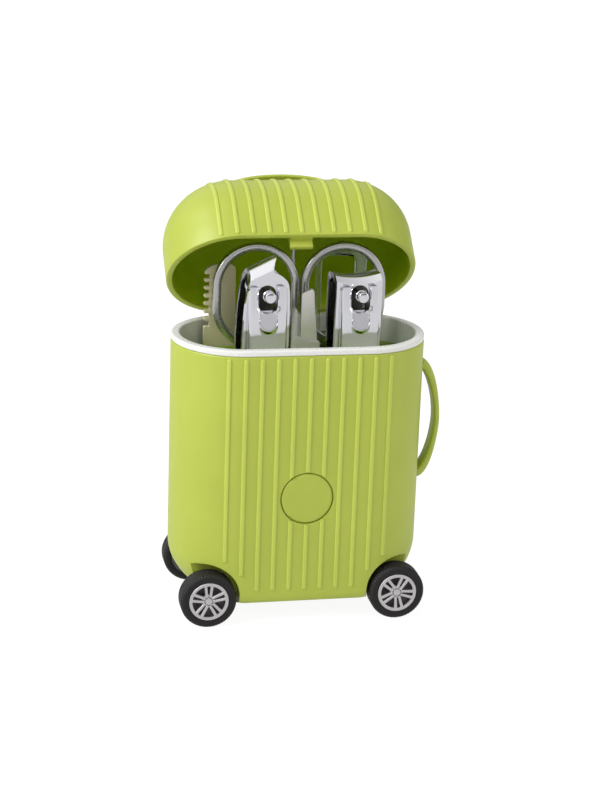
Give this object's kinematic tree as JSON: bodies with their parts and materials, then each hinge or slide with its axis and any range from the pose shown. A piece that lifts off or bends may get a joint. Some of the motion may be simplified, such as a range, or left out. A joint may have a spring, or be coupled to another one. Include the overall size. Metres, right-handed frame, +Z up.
{
  "type": "manicure set case",
  "caption": "Suitcase-shaped manicure set case with hinged domed lid, wheels, side handle and removable nail tools.",
  "frame": {"origin": "centre of the case body's flat bottom face; the tyres reach 6.2 mm below it", "axes": "+Z up, front of the case towards -Y, side handle on +X"},
  "size_m": [0.0803, 0.0603, 0.1234],
  "materials": {
    "lime_plastic": "fine moulded texture, satin",
    "tray_plastic": "moulded, satin",
    "white_plastic": "smooth moulded",
    "chrome_steel": "nickel-chrome plated, polished",
    "satin_steel": "brushed",
    "tyre_rubber": "moulded black rubber",
    "silver_plastic": "silver painted",
    "comb_plastic": "cream, smooth",
    "grey_plastic": "grey, satin",
    "clear_plastic": "clear, glossy"
  },
  "bodies": {
    "case": {"body_shell": "lime_plastic", "liner": "white_plastic", "tool_tray": "tray_plastic", "badge_disc": "lime_plastic", "side_handle": "lime_plastic", "hinge_pin": "chrome_steel"},
    "lid": {"lid_shell": "lime_plastic", "carry_handle": "lime_plastic"},
    "wheels_left": {"axle_left": "satin_steel", "rim_front_left": "silver_plastic", "rim_rear_left": "silver_plastic", "tyre_front_left": "tyre_rubber", "tyre_rear_left": "tyre_rubber"},
    "wheels_right": {"axle_right": "satin_steel", "rim_front_right": "silver_plastic", "rim_rear_right": "silver_plastic", "tyre_front_right": "tyre_rubber", "tyre_rear_right": "tyre_rubber"},
    "straight_clipper": {"straight_upper_leaf": "chrome_steel", "straight_lower_leaf": "chrome_steel", "straight_post": "chrome_steel", "straight_rivet": "chrome_steel"},
    "straight_clipper_lever": {"straight_lever": "chrome_steel"},
    "slant_clipper": {"slant_upper_leaf": "chrome_steel", "slant_lower_leaf": "chrome_steel", "slant_post": "chrome_steel", "slant_rivet": "chrome_steel"},
    "slant_clipper_lever": {"slant_lever": "chrome_steel"},
    "scissors": {"scissors_left": "chrome_steel", "scissors_screw": "chrome_steel"},
    "scissors_half": {"scissors_right": "chrome_steel"},
    "file": {"flat_file": "satin_steel", "file_grip": "grey_plastic"},
    "pick": {"ear_pick": "chrome_steel"},
    "comb_piece": {"comb": "comb_plastic"},
    "holder": {"clear_holder": "clear_plastic"}
  },
  "joints": [
    {"name": "lid_hinge", "type": "hinge", "parent": "case", "child": "lid", "pos_m": [0, 0.0212, 0.0704], "axis": [-1, 0, 0], "range_deg": [-48, 52]},
    {"name": "left_axle_spin", "type": "hinge", "parent": "case", "child": "wheels_left", "pos_m": [-0.0279, 0, 0.002], "axis": [0, 1, 0], "continuous": true},
    {"name": "right_axle_spin", "type": "hinge", "parent": "case", "child": "wheels_right", "pos_m": [0.0279, 0, 0.002], "axis": [0, 1, 0], "continuous": true},
    {"name": "straight_clipper_lift", "type": "slide", "parent": "case", "child": "straight_clipper", "axis": [0, 0, 1], "range_m": [0, 0.008]},
    {"name": "slant_clipper_lift", "type": "slide", "parent": "case", "child": "slant_clipper", "axis": [0, 0, 1], "range_m": [0, 0.004]},
    {"name": "scissors_lift", "type": "slide", "parent": "case", "child": "scissors", "axis": [0, 0, 1], "range_m": [0, 0.008]},
    {"name": "file_lift", "type": "slide", "parent": "case", "child": "file", "axis": [0, 0, 1], "range_m": [0, 0.008]},
    {"name": "pick_lift", "type": "slide", "parent": "case", "child": "pick", "axis": [0, 0, 1], "range_m": [0, 0.01]},
    {"name": "comb_lift", "type": "slide", "parent": "case", "child": "comb_piece", "axis": [0, 0, 1], "range_m": [0, 0.014]},
    {"name": "holder_lift", "type": "slide", "parent": "case", "child": "holder", "axis": [0, 0, 1], "range_m": [0, 0.012]},
    {"name": "straight_lever_tilt", "type": "hinge", "parent": "straight_clipper", "child": "straight_clipper_lever", "pos_m": [0.01589, -0.00986, 0.0892], "axis": [-0.9925, -0.1219, 0], "range_deg": [0, 4]},
    {"name": "slant_lever_tilt", "type": "hinge", "parent": "slant_clipper", "child": "slant_clipper_lever", "pos_m": [-0.0109, -0.00986, 0.0896], "axis": [-0.9925, -0.1219, 0], "range_deg": [0, 4]},
    {"name": "scissors_pivot", "type": "hinge", "parent": "scissors", "child": "scissors_half", "pos_m": [0.0015, 0.0075, 0.0536], "axis": [0, 1, 0], "range_deg": [0, 4]}
  ]
}
